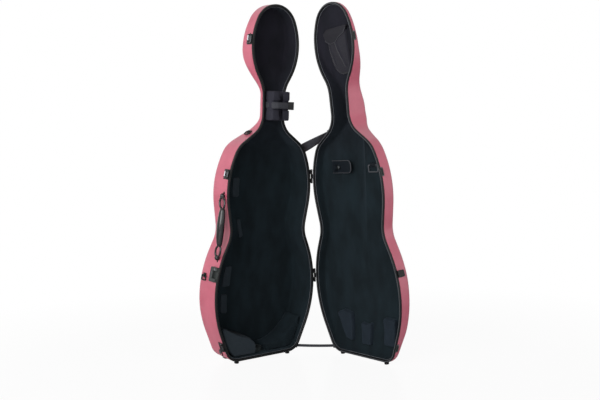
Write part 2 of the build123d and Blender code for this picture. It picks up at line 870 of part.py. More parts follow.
side_pad_inner = soft_inset + side_pad_thickness
side_pad_depth = side_pad_end - side_pad_start
side_band = ring_band(soft_inset, side_pad_inner, side_pad_start, side_pad_depth)
pads = []
for height in side_pad_heights:
    span = (height - side_pad_length / 2, height + side_pad_length / 2)
    pads.append(side_band & box_between((-400, 0), (-50, 400), span))
body_circle = Pos(0, 0, body_centre_height) * Rot(90, 0, 0) * Cylinder(body_radius, 900)
for side in (-1, 1):
    x = sorted((side * wedge_start, side * wedge_end))
    wedge = box_between(x, (wedge_front, 300), (0, wedge_height)) - body_circle
    pads.append(wedge & base_cavity)
base_parts["base_pads"] = together(*pads)
block = rod_z(pin_block_radius, soft_inset, soft_inset + pin_block_height, 0, pin_block_depth)
block = chamfer(block.edges().sort_by(Axis.Z)[-1], 2)
hole_low = soft_inset + pin_block_height - pin_hole_depth
block -= rod_z(pin_hole_radius, hole_low, hole_low + 60, 0, pin_block_depth)
base_parts["end_pin_block"] = block


# Fittings in the lid
def depth_at(profile, height):
    """Depth of a side profile's straight runs at a height."""
    for (low_depth, low), (high_depth, high) in zip(profile, profile[1:]):
        if low <= height <= high:
            return low_depth + (high_depth - low_depth) * (height - low) / (high - low)
    return 0


def lid_layer(x, z, radius, start, thickness):
    """A soft layer on the lid's inner back, seen from the front as a rounded rectangle."""
    layer = front_region(x, z, radius) & lid_room
    layer &= behind(lid_back, lid_back_radii, start)
    return layer - behind(lid_back, lid_back_radii, start + thickness)


lid_room = slab(soft_inset, -50, 300)
pouch_x = (pouch_left, pouch_right)
lid_parts["accessory_pouch"] = lid_layer(
    pouch_x, (pouch_bottom, pouch_top), 20, soft_inset, pouch_thickness
)
flap_start = soft_inset + pouch_thickness + side_gap
lid_parts["pouch_flap"] = lid_layer(
    pouch_x, (flap_bottom, pouch_top), 20, flap_start, flap_thickness
)
pads = []
for left, right, low, high in lid_pads:
    pads.append(lid_layer((left, right), (low, high), 10, soft_inset, lid_pad_thickness))
lid_parts["lid_pads"] = together(*pads)

plate_x, plate_z = bow_plate_centre
plate_back = depth_at(lid_back, plate_z) - soft_inset
plate_front = plate_back - bow_plate_thickness
end_radius = bow_plate_length / 2 - 1
plate_face = RectangleRounded(bow_plate_width, bow_plate_length, end_radius)
shape = Plane.XZ * Pos(plate_x, plate_z) * plate_face
plate = Pos(0, plate_front, 0) * extrude(shape, amount=-bow_plate_thickness)
pin_axis = Pos(plate_x, 0, plate_z) * Rot(-90, 0, 0)
plate -= pin_axis * Cylinder(knob_pin_radius + running_gap, 400)
lid_parts["bow_holder_plate"] = plate
knob_low = plate_front - side_gap - toggle_thickness
toggle = box_between(
    (-toggle_length / 2, toggle_length / 2),
    (knob_low, knob_low + toggle_thickness),
    (-toggle_width / 2, toggle_width / 2),
)
knob_centre = knob_low - knob_height / 2
knob = toggle + Rot(-90, 0, 0) * Pos(0, 0, knob_centre) * Cylinder(knob_radius, knob_height)
pin_length = plate_back - side_gap - knob_low
pin = Pos(0, 0, knob_low + pin_length / 2) * Cylinder(knob_pin_radius, pin_length)
knob += Rot(-90, 0, 0) * pin
lid_parts["bow_holder_knob"] = Pos(plate_x, 0, plate_z) * knob

loop_x, loop_z = loop_centre
loop_back = depth_at(lid_back, loop_z) - cavity_inset
loop_plane = Plane(origin=(loop_x, loop_back, loop_z), x_dir=(0, 0, 1), z_dir=(0, -1, 0))
loop_lug = lug(loop_lug_width / 2, lug_length) & box_between((-50, 50), (-50, 50), (side_gap, 50))
lid_parts["bow_loop_lug"] = loop_plane.location * loop_lug
loop = Pos(0, 0, ring_axis_height) * ring(loop_width, loop_length, ring_bar, ring_thickness)
lid_parts["bow_loop"] = loop_plane.location * loop


# Feet on both bottoms
def feet(depths):
    found = []
    for depth in depths:
        for side in (-1, 1):
            foot = rod_z(foot_radius, -foot_height, foot_height, side * foot_spacing, depth)
            foot = chamfer(foot.edges().sort_by(Axis.Z)[0], 1.2)
            found.append(foot - outer_prism)
    return together(*found)


base_parts["base_feet"] = feet([foot_front, foot_back])
lid_parts["lid_feet"] = feet([foot_front])

# Stand the halves on the floor and centre the whole on the origin
placed = {}
for name, part in base_parts.items():
    placed[name] = lean * base_on_hinge * part
for name, part in lid_parts.items():
    placed[name] = lean * lid_turn * lid_on_hinge * part
for name, part in hinge_parts.items():
    placed[name] = lean * part
boxes = [part.bounding_box() for part in placed.values()]
low = Vector(*[min(getattr(b.min, a) for b in boxes) for a in "XYZ"])
high = Vector(*[max(getattr(b.max, a) for b in boxes) for a in "XYZ"])
stand = Pos(-(low.X + high.X) / 2, -(low.Y + high.Y) / 2, -low.Z)
for name, part in placed.items():
    placed[name] = stand * part
    export_step(placed[name], f"parts/{name}.step")
print("nodes", len(placed), "size", [round(v, 1) for v in high - low])
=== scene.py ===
from math import acos, cos, exp, pi, sin, sqrt

import bmesh
import bpy
from mathutils import Matrix, Vector


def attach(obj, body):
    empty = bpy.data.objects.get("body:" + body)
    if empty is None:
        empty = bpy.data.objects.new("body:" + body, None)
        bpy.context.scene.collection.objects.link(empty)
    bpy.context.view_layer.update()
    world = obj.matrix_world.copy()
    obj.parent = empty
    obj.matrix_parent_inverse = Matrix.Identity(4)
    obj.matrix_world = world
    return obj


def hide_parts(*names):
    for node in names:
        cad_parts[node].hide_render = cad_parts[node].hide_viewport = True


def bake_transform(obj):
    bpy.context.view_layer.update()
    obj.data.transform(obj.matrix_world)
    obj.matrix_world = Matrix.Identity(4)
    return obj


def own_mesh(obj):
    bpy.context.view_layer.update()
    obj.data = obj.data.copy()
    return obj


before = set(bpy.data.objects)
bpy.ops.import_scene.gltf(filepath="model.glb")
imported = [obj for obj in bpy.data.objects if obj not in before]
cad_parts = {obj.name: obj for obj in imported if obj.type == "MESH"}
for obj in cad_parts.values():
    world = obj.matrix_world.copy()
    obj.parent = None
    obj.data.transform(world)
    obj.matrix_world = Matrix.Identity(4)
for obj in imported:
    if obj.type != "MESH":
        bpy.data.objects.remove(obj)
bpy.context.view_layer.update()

mm = 0.001  # the frame is in metres, the sizes below in millimetres
scene = bpy.context.scene
scene.view_settings.view_transform = "Standard"
print("frame loaded:", len(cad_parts), "nodes")


# Camera, at the photograph's place
camera = {
    "place": (-1.9387, -2.4207, 0.7558),
    "ahead": (0.62637, 0.77851, -0.03977),
    "right": (0.77848, -0.62736, -0.01977),
    "lens": 49.35,
}
ahead = Vector(camera["ahead"]).normalized()
right = Vector(camera["right"]).normalized()
above = right.cross(ahead)
cameraData = bpy.data.cameras.new("camera")
cameraData.lens = camera["lens"]
cameraData.sensor_width = 36
cameraObject = bpy.data.objects.new("camera", cameraData)
cameraMatrix = Matrix((right, above, -ahead)).transposed().to_4x4()
cameraMatrix.translation = Vector(camera["place"])
cameraObject.matrix_world = cameraMatrix
scene.collection.objects.link(cameraObject)
scene.camera = cameraObject


# Where each half stands: the middle of its bottom edge, and its across, back and up directions
halfPlaces = {
    "base": {
        "bottom": (-0.030335, 0.195352, 0.008437),
        "across": (0.9999874, 0.0050171, 0),
        "back": (-0.0049921, 0.9950079, 0.0996715),
        "up": (0.0005001, -0.0996700, 0.9950204),
    },
    "lid": {
        "bottom": (0.241692, -0.076675, 0.008437),
        "across": (-0.0050171, -0.9999874, 0),
        "back": (0.9950079, -0.0049921, 0.0996715),
        "up": (-0.0996700, 0.0005001, 0.9950204),
    },
}

# The case's outline, seen from the front: tangent corners and the radii that round them
outlineCorners = [
    (0, 0), (164, 0), (275.5, 271), (176.5, 497), (212.6, 702), (158, 833),
    (49, 910), (53, 1055), (137, 1196), (66, 1370), (0, 1370),
]
outlineRadii = [60, 416.8, 107.3, 354.11, 110, 85, 110, 227.72, 97]
arcStep = 5

# Side views of both backs, as (depth, height), and how far in the lining's face lies
backs = {
    "base": [
        (122, -60), (134, 215), (116, 700), (106, 838),
        (40, 932), (38, 1045), (88, 1170), (60, 1430),
    ],
    "lid": [
        (18, -60), (51, 125), (60, 330), (60, 840), (99, 925),
        (95, 985), (36, 1190), (29, 1250), (24, 1430),
    ],
}
liningFace = 11.6


# Turns a half's millimetres (across, back, up) into the frame's metres. Flat: (across, up, front)
def halfMatrix(half, flat=False):
    place = halfPlaces[half]
    across, back, up = (Vector(place[key]) for key in ("across", "back", "up"))
    columns = (across, up, -back) if flat else (across, back, up)
    matrix = Matrix([v * mm for v in columns]).transposed().to_4x4()
    matrix.translation = Vector(place["bottom"])
    return matrix


# A matrix's own direction, as a unit vector in the frame
def aimed(matrix, direction):
    return (matrix.to_3x3() @ Vector(direction)).normalized()


# Points along straight runs joined by arcs
def roundedPath(corners, radii, step):
    points = [Vector(corners[0])]
    for before, corner, after, radius in zip(corners, corners[1:], corners[2:], radii):
        corner = Vector(corner)
        toBefore = (Vector(before) - corner).normalized()
        toAfter = (Vector(after) - corner).normalized()
        halfTurn = (pi - acos(toBefore.dot(toAfter))) / 2
        inward = (toBefore + toAfter).normalized()
        centre = corner + inward * (radius / cos(halfTurn))
        count = max(3, round(2 * halfTurn * radius / step))
        start = -inward
        turn = toBefore.x * toAfter.y - toBefore.y * toAfter.x
        sign = -1 if turn > 0 else 1
        for index in range(count + 1):
            angle = sign * halfTurn * (2 * index / count - 1)
            arm = Vector((
                start.x * cos(angle) - start.y * sin(angle),
                start.x * sin(angle) + start.y * cos(angle),
            ))
            points.append(centre + arm * radius)
    points.append(Vector(corners[-1]))
    return points


# A closed outline with rounded corners, walked in short steps
def roundedOutline(corners, radii, step=3):
    places = [Vector(corner) for corner in corners]
    start = (places[0] + places[-1]) / 2
    path = roundedPath([start, *places, start], radii, step)[:-1]
    walked = []
    for first, second in zip(path, path[1:] + path[:1]):
        pieces = max(1, round((second - first).length / step))
        walked += [first.lerp(second, index / pieces) for index in range(pieces)]
    return walked


rightSide = roundedPath(outlineCorners, outlineRadii, arcStep)


# The whole outline as a closed loop at a depth behind the rim's plane, moved in by the inset
def outlineLoop(inset, depth):
    loop = [p.copy() for p in rightSide]
    loop += [Vector((-p.x, p.y)) for p in reversed(rightSide[1:-1])]
    moved = []
    for index, point in enumerate(loop):
        along = (loop[(index + 1) % len(loop)] - loop[index - 1]).normalized()
        spot = point + Vector((-along.y, along.x)) * inset
        moved.append((spot.x, spot.y, -depth))
    return moved


# Half the outline's width at a height
def sideAt(height):
    for low, high in zip(rightSide, rightSide[1:]):
        if low.y <= height <= high.y and high.y > low.y:
            return low.x + (high.x - low.x) * (height - low.y) / (high.y - low.y)
    return rightSide[-1].x


# A plane on the outer wall: x along it, y back from the rim, z outward
def wallMatrix(half, height, side):
    rise = Vector((sideAt(height + 1) - sideAt(height - 1), 0, 2)).normalized()
    out = Vector((side * rise.z, 0, -rise.x))
    along = Vector((out.z, 0, -out.x))
    matrix = Matrix((along, Vector((0, 1, 0)), out)).transposed().to_4x4()
    matrix.translation = Vector((side * sideAt(height), 0, height))
    return halfMatrix(half) @ matrix


# How deep the lining's face lies behind the rim's plane, at a height
def liningDepth(half, height):
    profile = backs[half]
    for (lowDepth, low), (highDepth, high) in zip(profile, profile[1:]):
        if low <= height <= high:
            share = (height - low) / (high - low)
            return lowDepth + (highDepth - lowDepth) * share - liningFace
    return profile[-1][0] - liningFace


# Adds a node. Settings are sockets, by name or number, or the node's own properties, and a link
# comes from a socket or a node's first output
def addNode(tree, kind, settings=None, links=None):
    node = tree.nodes.new(kind)
    for key, value in (settings or {}).items():
        if isinstance(key, int) or (key in node.inputs and not hasattr(node, key)):
            node.inputs[key].default_value = value
        else:
            setattr(node, key, value)
    for key, source in (links or {}).items():
        if isinstance(source, bpy.types.Node):
            source = source.outputs[0]
        tree.links.new(source, node.inputs[key])
    return node


# An sRGB hex colour as linear RGBA
def linear(hexColour):
    parts = [int(hexColour[i : i + 2], 16) / 255 for i in (1, 3, 5)]
    return [c / 12.92 if c <= 0.04045 else ((c + 0.055) / 1.055) ** 2.4 for c in parts] + [1]


materials = {}


# A material with its shader set, and the object's own coordinates to build on
def newFinish(key, name, settings):
    material = bpy.data.materials.new(name)
    material.use_nodes = True
    tree = material.node_tree
    shader = tree.nodes["Principled BSDF"]
    for socket, value in settings.items():
        shader.inputs[socket].default_value = value
    place = addNode(tree, "ShaderNodeTexCoord").outputs["Object"]
    materials[key] = material
    return tree, shader, place


# Shader settings of a plain surface, by its roughness and how strongly it reflects
def gloss(roughness, level):
    return {"Roughness": roughness, "Specular IOR Level": level}


def mixColours(tree, factor, first, second):
    mix = addNode(tree, "ShaderNodeMix", {"data_type": "RGBA"}, {0: factor})
    mix.inputs[6].default_value = linear(first)
    mix.inputs[7].default_value = linear(second)
    return mix.outputs[2]


def colourBy(tree, shader, factor, first, second):
    tree.links.new(mixColours(tree, factor, first, second), shader.inputs["Base Color"])


def spread(tree, value, low, high, toLow, toHigh):
    ranged = addNode(tree, "ShaderNodeMapRange", links={"Value": value})
    ends = {"From Min": low, "From Max": high, "To Min": toLow, "To Max": toHigh}
    for key, number in ends.items():
        ranged.inputs[key].default_value = number
    return ranged.outputs["Result"]


def roughenBy(tree, shader, factor, low, high):
    tree.links.new(spread(tree, factor, 0.3, 0.7, low, high), shader.inputs["Roughness"])


# Noise whose largest features measure the size, in millimetres
def noise(tree, place, size, detail=2.0, stretch=None):
    if stretch:
        links = {"Vector": place}
        place = addNode(tree, "ShaderNodeMapping", {"Scale": stretch}, links)
    settings = {"Scale": 1000 / size, "Detail": detail}
    return addNode(tree, "ShaderNodeTexNoise", settings, {"Vector": place}).outputs["Fac"]


# Threads or ribs at a spacing in millimetres
def waves(tree, place, spacing, direction, distortion):
    settings = {
        "Scale": pi * 100 / spacing,
        "Distortion": distortion,
        "bands_direction": direction,
    }
    return addNode(tree, "ShaderNodeTexWave", settings, {"Vector": place}).outputs["Fac"]


# Relief of a real height, in millimetres
def addBump(tree, shader, height, distance, strength=1.0):
    settings = {"Distance": distance * mm, "Strength": strength}
    bump = addNode(tree, "ShaderNodeBump", settings, {"Height": height})
    tree.links.new(bump.outputs["Normal"], shader.inputs["Normal"])


# Pink satin lacquer sprayed over a moulded fibre shell: soft highlights, a brushed cloudiness
shellLook = {"deep": "#B34E63", "pale": "#C9667A", "grain": 1.6, "cloud": 70}
tree, shader, place = newFinish(
    "shell",
    "pinkSatinLacquer",
    {"IOR": 1.5, "Coat Weight": 0.45, "Coat Roughness": 0.28},
)
cloud = noise(tree, place, shellLook["cloud"], 3)
streak = noise(tree, place, shellLook["grain"], 3, stretch=(1, 1, 0.16))
blend = addNode(tree, "ShaderNodeMath", {"operation": "MULTIPLY_ADD", 1: 0.55}, {0: streak})
tree.links.new(spread(tree, cloud, 0.3, 0.7, 0.05, 0.5), blend.inputs[2])
colourBy(tree, shader, blend, shellLook["deep"], shellLook["pale"])
roughenBy(tree, shader, streak, 0.36, 0.5)
addBump(tree, shader, streak, 0.05)

# Short black pile velvet glued to foam: nearly black, brushed in patches, bluer low in the case,
# with a painted purple-grey light tint at the neck
velvetLook = {
    "deep": "#11191D",
    "pale": "#182227",
    # The neck's two tones are a painted tint of the light there, not a different cloth
    "neckLitDeep": "#19191F",
    "neckLitPale": "#201F27",
    "turn": (0.75, 1.15),  # heights between which the neck's tone takes over, in metres
    "brush": 55,
    "pile": 1.2,
}
clothSheen = linear("#7F95A6")
tree, shader, place = newFinish(
    "velvet",
    "blackPileVelvet",
    {
        **gloss(0.95, 0.15),
        "Sheen Weight": 0.18,
        "Sheen Roughness": 0.45,
        "Sheen Tint": clothSheen,
    },
)
brush = noise(tree, place, velvetLook["brush"], 2, stretch=(1, 1, 0.5))
brushed = spread(tree, brush, 0.35, 0.65, 0, 1)
low = mixColours(tree, brushed, velvetLook["deep"], velvetLook["pale"])
# Painted light tint of the neck, mixed over the brushed patches by height
high = mixColours(tree, brushed, velvetLook["neckLitDeep"], velvetLook["neckLitPale"])
rise = addNode(tree, "ShaderNodeSeparateXYZ", links={0: place}).outputs["Z"]
turned = spread(tree, rise, *velvetLook["turn"], 0, 1)
napAndLightTint = addNode(tree, "ShaderNodeMix", {"data_type": "RGBA"}, {0: turned, 6: low, 7: high})
tree.links.new(napAndLightTint.outputs[2], shader.inputs["Base Color"])
addBump(tree, shader, noise(tree, place, velvetLook["pile"], 2), 0.35, 0.6)

# Woven light grey piping cord: small diagonal threads, matt
pipingLook = {"thread": 1.2, "dark": "#4C4F54", "light": "#5E6167"}
tree, shader, place = newFinish("piping", "wovenGreyPiping", gloss(0.8, 0.3))
threads = waves(tree, place, pipingLook["thread"], "DIAGONAL", 1.0)
colourBy(tree, shader, threads, pipingLook["dark"], pipingLook["light"])
addBump(tree, shader, threads, 0.2)

# Black powder-coated zinc and steel: a fine orange peel, worn paler in small patches
tree, shader, place = newFinish("darkMetal", "powderCoatedSteel", {"Specular IOR Level": 0.25})
peel = noise(tree, place, 0.9, 2)
wear = spread(tree, noise(tree, place, 9, 4), 0.62, 0.72, 0, 1)
colourBy(tree, shader, wear, "#0B0B0C", "#1E1E20")
roughenBy(tree, shader, peel, 0.3, 0.46)
addBump(tree, shader, peel, 0.04)

# Nickel-plated pressed steel, dulled by handling: faint polishing lines
tree, shader, place = newFinish("brightMetal", "nickelPlatedSteel", {"Metallic": 1.0})
polish = noise(tree, place, 1.2, 3, stretch=(1, 1, 0.1))
colourBy(tree, shader, polish, "#5E6063", "#8A8C8F")
roughenBy(tree, shader, polish, 0.2, 0.36)
addBump(tree, shader, polish, 0.02)

# Gloss black moulded nylon handle: clear highlights over a slight mould waviness
tree, shader, place = newFinish("handle", "glossBlackNylon", {"Specular IOR Level": 0.5})
wave = noise(tree, place, 14, 2)
colourBy(tree, shader, wave, "#070708", "#0E0E10")
roughenBy(tree, shader, noise(tree, place, 2, 3), 0.12, 0.22)
addBump(tree, shader, wave, 0.08)

# Woven polyester webbing: twill ribs across the tape, matt dark grey
webLook = {"rib": 1.6, "dark": "#333439", "light": "#4C4D53"}
tree, shader, place = newFinish("webbing", "wovenWebbing", gloss(0.85, 0.25))
own = tree.nodes["Texture Coordinate"].outputs["UV"]
ribs = waves(tree, own, webLook["rib"], "DIAGONAL", 0.6)
across = waves(tree, own, webLook["rib"], "X", 0.4)
weave = addNode(tree, "ShaderNodeMath", {"operation": "MULTIPLY"}, {0: ribs, 1: across})
colourBy(tree, shader, weave, webLook["dark"], webLook["light"])
addBump(tree, shader, weave, 0.3)

# Woven black pouch cloth: plain weave, a little lighter than the velvet
clothLook = {"thread": 1.5, "dark": "#18181F", "light": "#23222C"}
settings = {**gloss(0.85, 0.25), "Sheen Weight": 0.2}
tree, shader, place = newFinish("pouchCloth", "wovenPouchCloth", settings)
warp = waves(tree, place, clothLook["thread"], "Z", 0.5)
weft = waves(tree, place, clothLook["thread"], "Y", 0.5)
both = addNode(tree, "ShaderNodeMath", {"operation": "ADD"}, {0: warp, 1: weft})
weave = spread(tree, both, 0, 2, 0, 1)
colourBy(tree, shader, weave, clothLook["dark"], clothLook["light"])
addBump(tree, shader, weave, 0.25)

# Moulded rubber feet: matt black with dusty patches
tree, shader, place = newFinish("rubber", "mouldedRubber", gloss(0.75, 0.2))
dust = spread(tree, noise(tree, place, 12, 4), 0.5, 0.75, 0, 1)
colourBy(tree, shader, dust, "#0B0B0C", "#19191A")
addBump(tree, shader, noise(tree, place, 1.2, 2), 0.08)

# Vinyl-covered board for the bow holder: soft sheen, pebbled
tree, shader, place = newFinish("vinyl", "embossedVinyl", gloss(0.45, 0.25))
cells = addNode(tree, "ShaderNodeTexVoronoi", {"Scale": 1000 / 1.8}, {"Vector": place})
colourBy(tree, shader, cells.outputs["Distance"], "#0E1318", "#181E24")
addBump(tree, shader, cells.outputs["Distance"], 0.15)

# Finishes mottled between two colours: name, shader, dark, light, grain as (size, detail) and
# relief as (size, detail, height)
mottled = {
    # Moulded black ABS edge band: satin, with a fine leather-like grain
    "rim": (
        "mouldedBlackRim", gloss(0.45, 0.25), "#0A0B0C", "#131416", (1.1, 3), (1.1, 3, 0.06),
    ),
    # Extruded grey rubber seal bead
    "seal": (
        "extrudedRubberSeal", {"Roughness": 0.6, "IOR": 1.52},
        "#3A3C40", "#4B4D52", (2, 2), (2, 2, 0.04),
    ),
    # Die-cast lock case, satin black coat with cast texture
    "lockCase": (
        "coatedLockCase", gloss(0.36, 0.3), "#282B2B", "#3A3E3D", (1.4, 3), (1.4, 3, 0.05),
    ),
    # Moulded acetal dials: dull black with a slight sheen
    "dial": (
        "mouldedDialPlastic", gloss(0.3, 0.3), "#3A3C3E", "#505355", (3, 2), (3, 2, 0.02),
    ),
    # Brushed loop cloth over foam pads: very dark grey-blue, slightly fuzzy
    "padCloth": (
        "brushedPadCloth",
        {
            **gloss(0.9, 0.15),
            "Sheen Weight": 0.15,
            "Sheen Roughness": 0.5,
            "Sheen Tint": clothSheen,
        },
        "#182027", "#222A33", (30, 2), (1.5, 3, 0.3),
    ),
    # Grey felted end-pin rest: short wool fibres
    "felt": (
        "pressedGreyFelt", gloss(0.95, 0.1), "#2B3031", "#3A4042", (1.6, 4), (1.6, 4, 0.4),
    ),
    # Brushed loop cloth of the neck cushions, a touch warmer and paler than the lid's pads
    "cushionCloth": (
        "brushedCushionCloth", gloss(0.9, 0.2), "#26262E", "#31313A", (25, 3), (1.4, 3, 0.3),
    ),
    # Brushed nylon cloth of the flat pads, paler than the velvet around them
    "paleCloth": (
        "brushedNylonPad", gloss(0.9, 0.2), "#242B31", "#2D353B", (12, 3), (1.3, 2, 0.2),
    ),
    # Smooth woven nylon of the pouch's flap
    "flapCloth": (
        "smoothFlapNylon", gloss(0.7, 0.25), "#1D1D22", "#26252B", (9, 3), (1.4, 2, 0.15),
    ),
    # Grey woven binding tape sewn round flap and tab
    "trimCloth": (
        "wovenBindingTape", gloss(0.75, 0.3), "#35363A", "#4A4B50", (1.5, 3), (1.2, 2, 0.15),
    ),
    # Dull tin-plated snap button
    "buttonMetal": (
        "tinPlatedSnap", {"Metallic": 1.0, "Roughness": 0.55},
        "#3A3D3F", "#4C5052", (2, 2), None,
    ),
}
for key, (name, settings, dark, light, grain, relief) in mottled.items():
    tree, shader, place = newFinish(key, name, settings)
    colourBy(tree, shader, noise(tree, place, *grain), dark, light)
    if relief:
        size, detail, height = relief
        addBump(tree, shader, noise(tree, place, size, detail), height)
print("materials:", len(materials))


latches = ("bottom_latch", "upper_latch", "head_latch")
hinges = ("lower_hinge", "upper_hinge")
carryRings = ("shoulder_outer", "shoulder_hinge", "hip_outer", "hip_hinge")
nodeFinishes = {
    "shell": ["base_shell", "lid_shell"],
    "darkMetal": [
        *(f"{hinge}_{half}_leaf" for hinge in hinges for half in ("base", "lid")),
        *(f"{latch}_{part}" for latch in latches for part in ("plate", "bail")),
        *(f"{ring}_ring" for ring in carryRings),
        *("hasp_plate", "hasp_arm", "strap_lugs", "stay_clamps_base", "stay_clamps_lid"),
    ],
    "seal": ["bow_loop"],
    "brightMetal": [
        *(f"{latch}_lever" for latch in latches),
        *(f"{hinge}_pin" for hinge in hinges),
        "lock_button",
    ],
    "lockCase": ["lock_body", *(f"{latch}_catch" for latch in latches)],
    "dial": ["dial_1", "dial_2", "dial_3"],
    "vinyl": ["bow_loop_lug", "bow_holder_knob"],
    "rubber": ["base_feet", "lid_feet"],
    "felt": ["end_pin_block"],
}
for finish, names in nodeFinishes.items():
    for name in names:
        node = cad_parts[name]
        node.data.materials.clear()
        node.data.materials.append(materials[finish])
print("nodes dressed:", sum(len(names) for names in nodeFinishes.values()))


def newPiece(name, mesh):
    mesh.name = name
    piece = bpy.data.objects.new(name, mesh)
    scene.collection.objects.link(piece)
    return piece


def smoothed(mesh):
    for polygon in mesh.polygons:
        polygon.use_smooth = True


# The piece with its modifiers applied, its place in its mesh and its faces turned outwards
def finished(piece, name, matrix=None):
    bpy.context.view_layer.update()
    evaluated = piece.evaluated_get(bpy.context.evaluated_depsgraph_get())
    mesh = bpy.data.meshes.new_from_object(evaluated)
    if not any(mesh.materials):
        mesh.materials.clear()
    if matrix:
        mesh.transform(matrix)
    soup = bmesh.new()
    soup.from_mesh(mesh)
    bmesh.ops.remove_doubles(soup, verts=soup.verts, dist=1e-6)
    bmesh.ops.recalc_face_normals(soup, faces=soup.faces)
    soup.to_mesh(mesh)
    soup.free()
    smoothed(mesh)
    bpy.data.objects.remove(piece)
    return newPiece(name, mesh)


# Faces between rings of vertices, each ring closed on itself
def joinRings(soup, rings):
    for lower, upper in zip(rings, rings[1:]):
        for step in range(len(lower)):
            after = (step + 1) % len(lower)
            soup.faces.new((lower[step], lower[after], upper[after], upper[step]))


# A built shape as a smooth piece, with its faces turned outwards
def soupPiece(name, soup, finish=None):
    bmesh.ops.recalc_face_normals(soup, faces=soup.faces)
    mesh = bpy.data.meshes.new(name)
    soup.to_mesh(mesh)
    soup.free()
    smoothed(mesh)
    if finish:
        mesh.materials.append(materials[finish])
    return newPiece(name, mesh)


# A Geometry Nodes tree with named inputs
def newTree(name, sockets):
    tree = bpy.data.node_groups.new(name, "GeometryNodeTree")
    geometry = "NodeSocketGeometry"
    tree.interface.new_socket("Geometry", in_out="INPUT", socket_type=geometry)
    for key, kind in sockets.items():
        tree.interface.new_socket(key, in_out="INPUT", socket_type=kind)
    tree.interface.new_socket("Geometry", in_out="OUTPUT", socket_type=geometry)
    return tree, addNode(tree, "NodeGroupInput").outputs


# Realizes what the tree made and gives it its material
def endTree(tree, given, geometry):
    real = addNode(tree, "GeometryNodeRealizeInstances", links={"Geometry": geometry})
    links = {"Geometry": real, "Material": given["Material"]}
    dressed = addNode(tree, "GeometryNodeSetMaterial", links=links)
    addNode(tree, "NodeGroupOutput", links={"Geometry": dressed})


# Puts the tree on the piece and sets its inputs by their identifiers
def runTree(piece, tree, values):
    modifier = piece.modifiers.new(tree.name, "NODES")
    modifier.node_group = tree
    for item in tree.interface.items_tree:
        if item.in_out == "INPUT" and item.name in values:
            modifier[item.identifier] = values[item.name]


def polyline(name, points, closed):
    mesh = bpy.data.meshes.new(name)
    edges = [(i, i + 1) for i in range(len(points) - 1)]
    if closed:
        edges.append((len(points) - 1, 0))
    mesh.from_pydata([tuple(p) for p in points], edges, [])
    return newPiece(name, mesh)


# A rounded bar that follows a path, for rims, pipings, beads and links
bandTree, given = newTree(
    "bandAlongPath",
    {
        "Width": "NodeSocketFloat",
        "Height": "NodeSocketFloat",
        "Corner": "NodeSocketFloat",
        "Material": "NodeSocketMaterial",
    },
)
links = {"Mesh": given["Geometry"]}
path = addNode(bandTree, "GeometryNodeMeshToCurve", links=links)
links = {"Curve": path}
path = addNode(bandTree, "GeometryNodeSetCurveNormal", {"mode": "Z_UP"}, links)
section = addNode(
    bandTree,
    "GeometryNodeCurvePrimitiveQuadrilateral",
    links={"Width": given["Width"], "Height": given["Height"]},
)
section = addNode(
    bandTree,
    "GeometryNodeFilletCurve",
    {"mode": "POLY", "Count": 3},
    {"Curve": section, "Radius": given["Corner"]},
)
bar = addNode(
    bandTree,
    "GeometryNodeCurveToMesh",
    {"Fill Caps": True},
    {"Curve": path, "Profile Curve": section},
)
endTree(bandTree, given, bar)


# Width runs across the path, height along the matrix's own z
def bandPiece(name, points, closed, width, height, corner, finish, matrix):
    piece = polyline(name + "Path", points, closed)
    values = {"Width": width, "Height": height, "Corner": corner, "Material": materials[finish]}
    runTree(piece, bandTree, values)
    return finished(piece, name, matrix)


# Small heads repeated on given points, each turned to the point's own direction
dotTree, given = newTree(
    "headsOnPoints",
    {
        "Radius": "NodeSocketFloat",
        "Flatness": "NodeSocketFloat",
        "Material": "NodeSocketMaterial",
    },
)
settings = {"data_type": "FLOAT_VECTOR", "Name": "facing"}
facing = addNode(dotTree, "GeometryNodeInputNamedAttribute", settings)
links = {"Vector": facing}
turned = addNode(dotTree, "FunctionNodeAlignRotationToVector", {"axis": "Z"}, links)
head = addNode(
    dotTree,
    "GeometryNodeMeshUVSphere",
    {"Segments": 16, "Rings": 8},
    {"Radius": given["Radius"]},
)
links = {"Z": given["Flatness"]}
size = addNode(dotTree, "ShaderNodeCombineXYZ", {"X": 1.0, "Y": 1.0}, links)
placed = addNode(
    dotTree,
    "GeometryNodeInstanceOnPoints",
    links={
        "Points": given["Geometry"],
        "Instance": head,
        "Rotation": turned,
        "Scale": size,
    },
)
endTree(dotTree, given, placed)


# Spots are (point, direction) pairs in the frame
def dotsPiece(name, spots, radius, flatness, finish):
    mesh = bpy.data.meshes.new(name)
    mesh.from_pydata([tuple(point) for point, _ in spots], [], [])
    facingLayer = mesh.attributes.new("facing", "FLOAT_VECTOR", "POINT")
    for item, (_, direction) in zip(facingLayer.data, spots):
        item.vector = direction
    piece = newPiece(name + "Spots", mesh)
    values = {"Radius": radius * mm, "Flatness": flatness, "Material": materials[finish]}
    runTree(piece, dotTree, values)
    return finished(piece, name)


# Edge bands, pipings and the seal bead, all following the outline
edges = {
    "wall": 9,
    "rimDepth": 0.75,
    "rimHeight": 8,
    "rimCorner": 2.2,
    "pipingInset": 10.3,
    "pipingDepth": 7.75,
    "piping": 2.2,
    "sealInset": 4.5,
    "sealDepth": 0.245,
    "sealWidth": 3,
    "sealHeight": 1,
    "sealCorner": 0.45,
}
wall, tall, thick = edges["wall"], edges["rimHeight"], edges["piping"]
for half in ("base", "lid"):
    flat = halfMatrix(half, flat=True)
    loop = outlineLoop(wall / 2, edges["rimDepth"] + tall / 2)
    rim = bandPiece(half + "RimBand", loop, True, wall, tall, edges["rimCorner"], "rim", flat)
    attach(rim, half)
    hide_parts(half + "_rim")
    loop = outlineLoop(edges["pipingInset"], edges["pipingDepth"])
    corner = thick / 2 - 0.01
    piping = bandPiece(half + "PipingCord", loop, True, thick, thick, corner, "piping", flat)
    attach(piping, half)
    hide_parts(half + "_piping")
loop = outlineLoop(edges["sealInset"], edges["sealDepth"])
